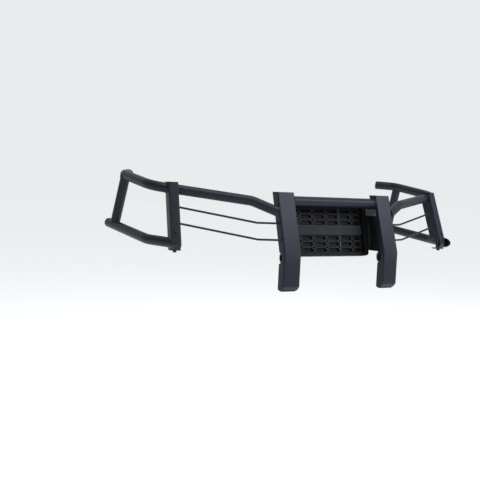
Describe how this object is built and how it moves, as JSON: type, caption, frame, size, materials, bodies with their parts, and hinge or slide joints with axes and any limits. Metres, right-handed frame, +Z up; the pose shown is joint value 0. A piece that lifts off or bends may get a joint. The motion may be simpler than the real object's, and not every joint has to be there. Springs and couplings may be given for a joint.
{
  "type": "front grille guard",
  "caption": "Tubular front guard for a compact utility vehicle: folded uprights, crossbar, headlight wings with rods, and a mesh insert over the grille.",
  "frame": {"origin": "on the axis of the vehicle's upper bumper tube, midway between the two inner uprights", "axes": "+X across the vehicle to its left side as the driver sits, -Y out of the guard's front, +Z up"},
  "size_m": [1.4942, 0.6482, 0.4482],
  "materials": {
    "powder_coat": "satin black powder coat",
    "mesh_black": "matte black",
    "rubber": "matte",
    "zinc_plate": "zinc plated",
    "black_oxide": "black oxide"
  },
  "bodies": {
    "root": {"clamp_bolt_lower_left": "black_oxide", "clamp_bolt_lower_right": "black_oxide", "clamp_bolt_upper_left": "black_oxide", "clamp_bolt_upper_right": "black_oxide", "clamp_liner_left": "rubber", "clamp_liner_right": "rubber", "clamp_plate_lower_left": "powder_coat", "clamp_plate_lower_right": "powder_coat", "clamp_plate_upper_left": "powder_coat", "clamp_plate_upper_right": "powder_coat", "clamp_strap_left": "zinc_plate", "clamp_strap_right": "zinc_plate", "corner_bottom_plate_left": "powder_coat", "corner_bottom_plate_right": "powder_coat", "corner_bracket_left": "zinc_plate", "corner_bracket_right": "zinc_plate", "corner_through_bolt_left": "black_oxide", "corner_through_bolt_right": "black_oxide", "corner_through_nut_left": "zinc_plate", "corner_through_nut_right": "zinc_plate", "corner_web_bolt_left": "black_oxide", "corner_web_bolt_right": "black_oxide", "crossbar": "powder_coat", "crossbar_collar_left": "powder_coat", "crossbar_collar_right": "powder_coat", "foot_pad_left": "rubber", "foot_pad_right": "rubber", "foot_plate_left": "powder_coat", "foot_plate_right": "powder_coat", "grille_bezel": "powder_coat", "grille_bezel_bolt_left": "black_oxide", "grille_bezel_bolt_right": "black_oxide", "grille_bracket_bolt_left": "black_oxide", "grille_bracket_bolt_right": "black_oxide", "grille_bracket_left": "zinc_plate", "grille_bracket_right": "zinc_plate", "grille_center_bar": "powder_coat", "grille_mesh_lower": "mesh_black", "grille_mesh_upper": "mesh_black", "grille_screen": "mesh_black", "grille_side_shield_left": "mesh_black", "grille_side_shield_right": "mesh_black", "headlight_rod_lower_left": "powder_coat", "headlight_rod_lower_right": "powder_coat", "headlight_rod_upper_left": "powder_coat", "headlight_rod_upper_right": "powder_coat", "lower_tube_cap_left": "powder_coat", "lower_tube_cap_right": "powder_coat", "outer_upright_left": "powder_coat", "outer_upright_right": "powder_coat", "rear_post_left": "powder_coat", "rear_post_right": "powder_coat", "top_tube_cap_left": "powder_coat", "top_tube_cap_right": "powder_coat", "upright_left": "powder_coat", "upright_right": "powder_coat", "wing_lower_tube_left": "powder_coat", "wing_lower_tube_right": "powder_coat", "wing_top_tube_left": "powder_coat", "wing_top_tube_right": "powder_coat"}
  },
  "joints": []
}
